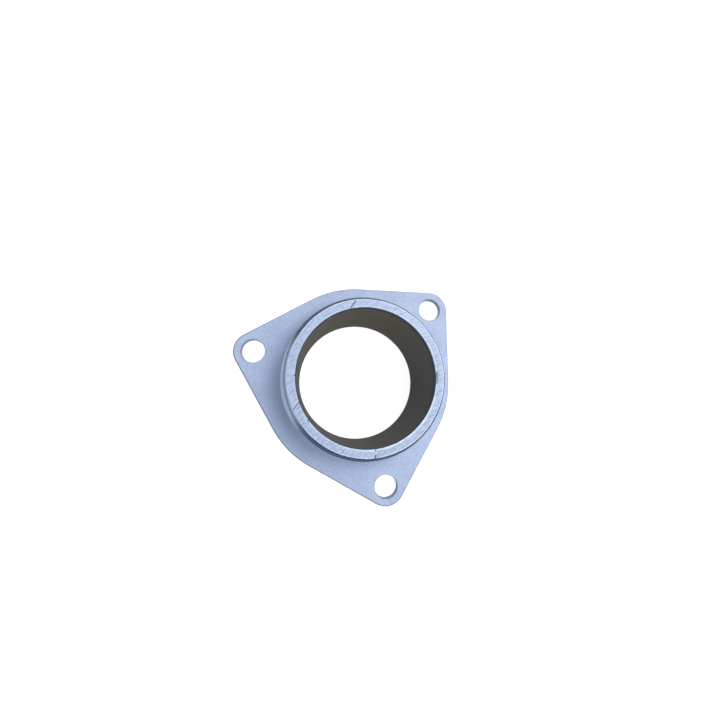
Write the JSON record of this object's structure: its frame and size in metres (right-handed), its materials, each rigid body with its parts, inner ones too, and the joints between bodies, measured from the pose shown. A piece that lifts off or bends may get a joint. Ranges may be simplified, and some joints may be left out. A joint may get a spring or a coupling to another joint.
{
  "type": "pump inlet flange",
  "caption": "Cast pump inlet flange: a thin lobed plate with bolt holes, a pilot ring at the back and a short bevelled hose spigot round a wide bore.",
  "frame": {"origin": "on the bore's axis, in the plane of the face that bolts to the pump", "axes": "+Z along the bore's axis, the way the pipe leaves; +Y through the first bolt hole"},
  "size_m": [0.094, 0.093, 0.0325],
  "materials": {
    "painted_casting": "satin blue-grey paint on cast iron, with the bore bare and dark"
  },
  "bodies": {
    "root": {"inlet_flange": "painted_casting"}
  },
  "joints": []
}
